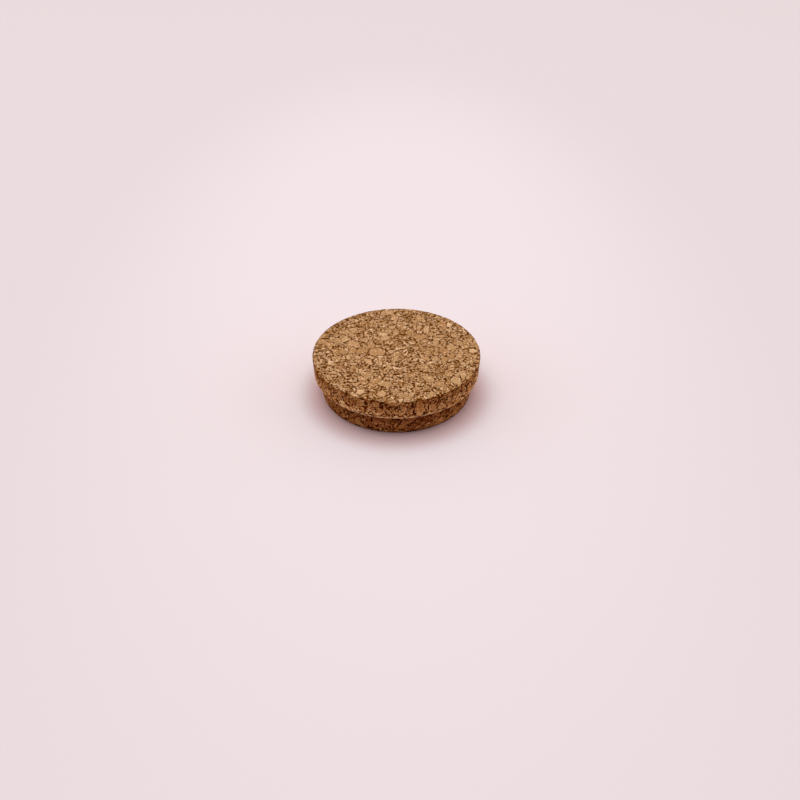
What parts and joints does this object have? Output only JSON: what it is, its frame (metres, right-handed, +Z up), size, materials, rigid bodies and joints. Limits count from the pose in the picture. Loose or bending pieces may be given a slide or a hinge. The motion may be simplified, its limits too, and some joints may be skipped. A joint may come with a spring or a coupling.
{
  "type": "cork stopper",
  "caption": "Round stopper of bonded cork granules: a short tapered plug that presses into a wide jar mouth, under a wider flange that sits on its rim.",
  "frame": {"origin": "centre of the plug's lower face, which the stopper stands on", "axes": "+Z up along the stopper's axis, from the plug to the flange; X and Y are free, because the form is turned"},
  "size_m": [0.06, 0.06, 0.0153],
  "materials": {
    "cork": "matt bonded cork granules in mixed tans, with open pits and a turned wall a shade darker than the faces"
  },
  "bodies": {
    "root": {"cork_stopper": "cork"}
  },
  "joints": []
}
